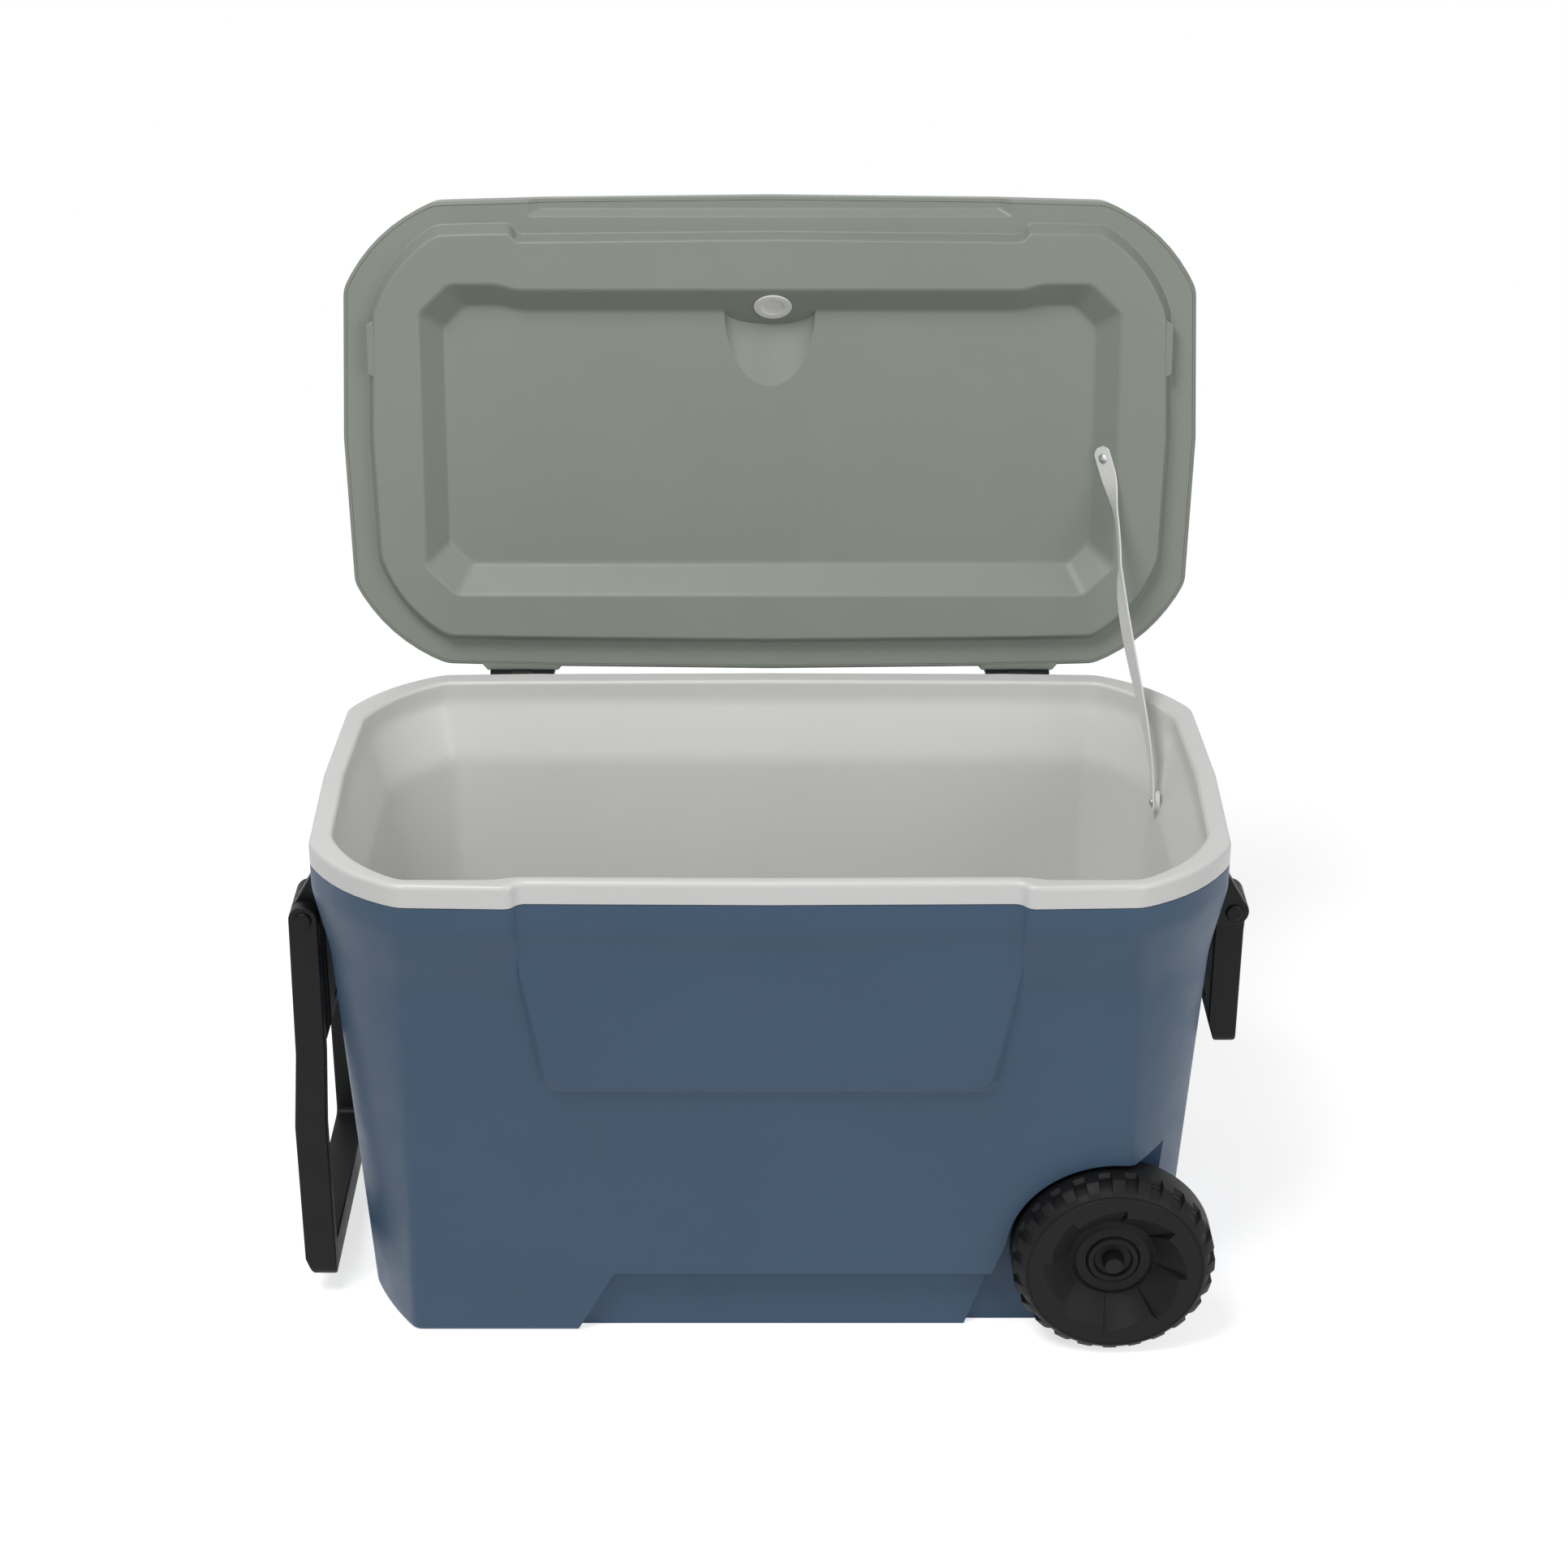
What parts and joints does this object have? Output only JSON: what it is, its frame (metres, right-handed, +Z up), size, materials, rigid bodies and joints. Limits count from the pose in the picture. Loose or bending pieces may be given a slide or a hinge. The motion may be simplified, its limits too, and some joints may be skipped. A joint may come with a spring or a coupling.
{
  "type": "wheeled cooler",
  "caption": "Insulated chest cooler on wheels, with its hinged lid open on a check strap, a tow handle at one end, carry handles and a drain.",
  "frame": {"origin": "on the floor under the middle of the chest, in the flat underside of the body shell", "axes": "+Z up, +X along the chest towards the wheel end, +Y towards the hinged back; the front faces -Y"},
  "size_m": [0.7595, 0.5141, 0.8259],
  "materials": {
    "blue_plastic": "slate blue moulded plastic, fine satin texture",
    "sage_plastic": "grey-green moulded plastic, satin",
    "white_plastic": "white moulded plastic, half gloss",
    "black_plastic": "black moulded plastic, satin",
    "insulating_foam": "rigid insulating foam, cream",
    "gasket_rubber": "black rubber",
    "steel": "zinc plated steel"
  },
  "bodies": {
    "base": {"body_shell": "blue_plastic", "tub_foam": "insulating_foam", "tub_liner": "white_plastic", "hinge_leaf_tub_left": "black_plastic", "hinge_leaf_tub_right": "black_plastic", "hinge_pin_left": "steel", "hinge_pin_right": "steel", "hinge_screw_tub_left_1": "steel", "hinge_screw_tub_left_2": "steel", "hinge_screw_tub_right_1": "steel", "hinge_screw_tub_right_2": "steel", "handle_bracket_left": "black_plastic", "handle_bracket_right": "black_plastic", "bracket_screw_left_1": "steel", "bracket_screw_left_2": "steel", "bracket_screw_right_1": "steel", "bracket_screw_right_2": "steel", "pivot_pin_left_front": "steel", "pivot_pin_left_rear": "steel", "pivot_pin_right_front": "steel", "pivot_pin_right_rear": "steel", "axle": "steel", "axle_spacer_front": "black_plastic", "axle_spacer_rear": "black_plastic", "axle_cap_front": "black_plastic", "axle_cap_rear": "black_plastic", "lid_strap": "white_plastic", "strap_screw_tub": "steel", "drain_gasket": "gasket_rubber", "drain_fitting": "white_plastic", "drain_nut": "white_plastic", "drain_tether": "white_plastic"},
    "lid": {"lid_shell": "sage_plastic", "lid_foam": "insulating_foam", "lid_liner": "sage_plastic", "foam_plug": "white_plastic", "hinge_leaf_lid_left": "black_plastic", "hinge_leaf_lid_right": "black_plastic", "hinge_screw_lid_left_1": "steel", "hinge_screw_lid_left_2": "steel", "hinge_screw_lid_right_1": "steel", "hinge_screw_lid_right_2": "steel", "strap_screw_lid": "steel"},
    "tow_handle": {"tow_handle": "black_plastic"},
    "carry_handle_left": {"carry_handle_left": "black_plastic"},
    "carry_handle_right": {"carry_handle_right": "black_plastic"},
    "wheel_front": {"wheel_front": "black_plastic"},
    "wheel_rear": {"wheel_rear": "black_plastic"},
    "drain_cap": {"drain_cap": "white_plastic"}
  },
  "joints": [
    {"name": "lid_hinge", "type": "hinge", "parent": "base", "child": "lid", "pos_m": [0, 0.2045, 0.4265], "axis": [1, 0, 0], "range_deg": [0, 99.5], "deforming": ["lid_strap"]},
    {"name": "tow_pivot", "type": "hinge", "parent": "base", "child": "tow_handle", "pos_m": [-0.3645, 0, 0.356], "axis": [0, 1, 0], "range_deg": [0, 130]},
    {"name": "carry_pivot_left", "type": "hinge", "parent": "base", "child": "carry_handle_left", "pos_m": [-0.3645, 0, 0.356], "axis": [0, 1, 0], "range_deg": [0, 100]},
    {"name": "carry_pivot_right", "type": "hinge", "parent": "base", "child": "carry_handle_right", "pos_m": [0.3645, 0, 0.356], "axis": [0, -1, 0], "range_deg": [0, 100]},
    {"name": "wheel_spin_front", "type": "hinge", "parent": "base", "child": "wheel_front", "pos_m": [0.275, -0.1685, 0.081], "axis": [0, 1, 0], "continuous": true},
    {"name": "wheel_spin_rear", "type": "hinge", "parent": "base", "child": "wheel_rear", "pos_m": [0.275, 0.1685, 0.081], "axis": [0, 1, 0], "continuous": true},
    {"name": "drain_cap_turn", "type": "hinge", "parent": "base", "child": "drain_cap", "pos_m": [-0.335, 0, 0.066], "axis": [-1, 0, 0], "range_deg": [0, 90]}
  ]
}
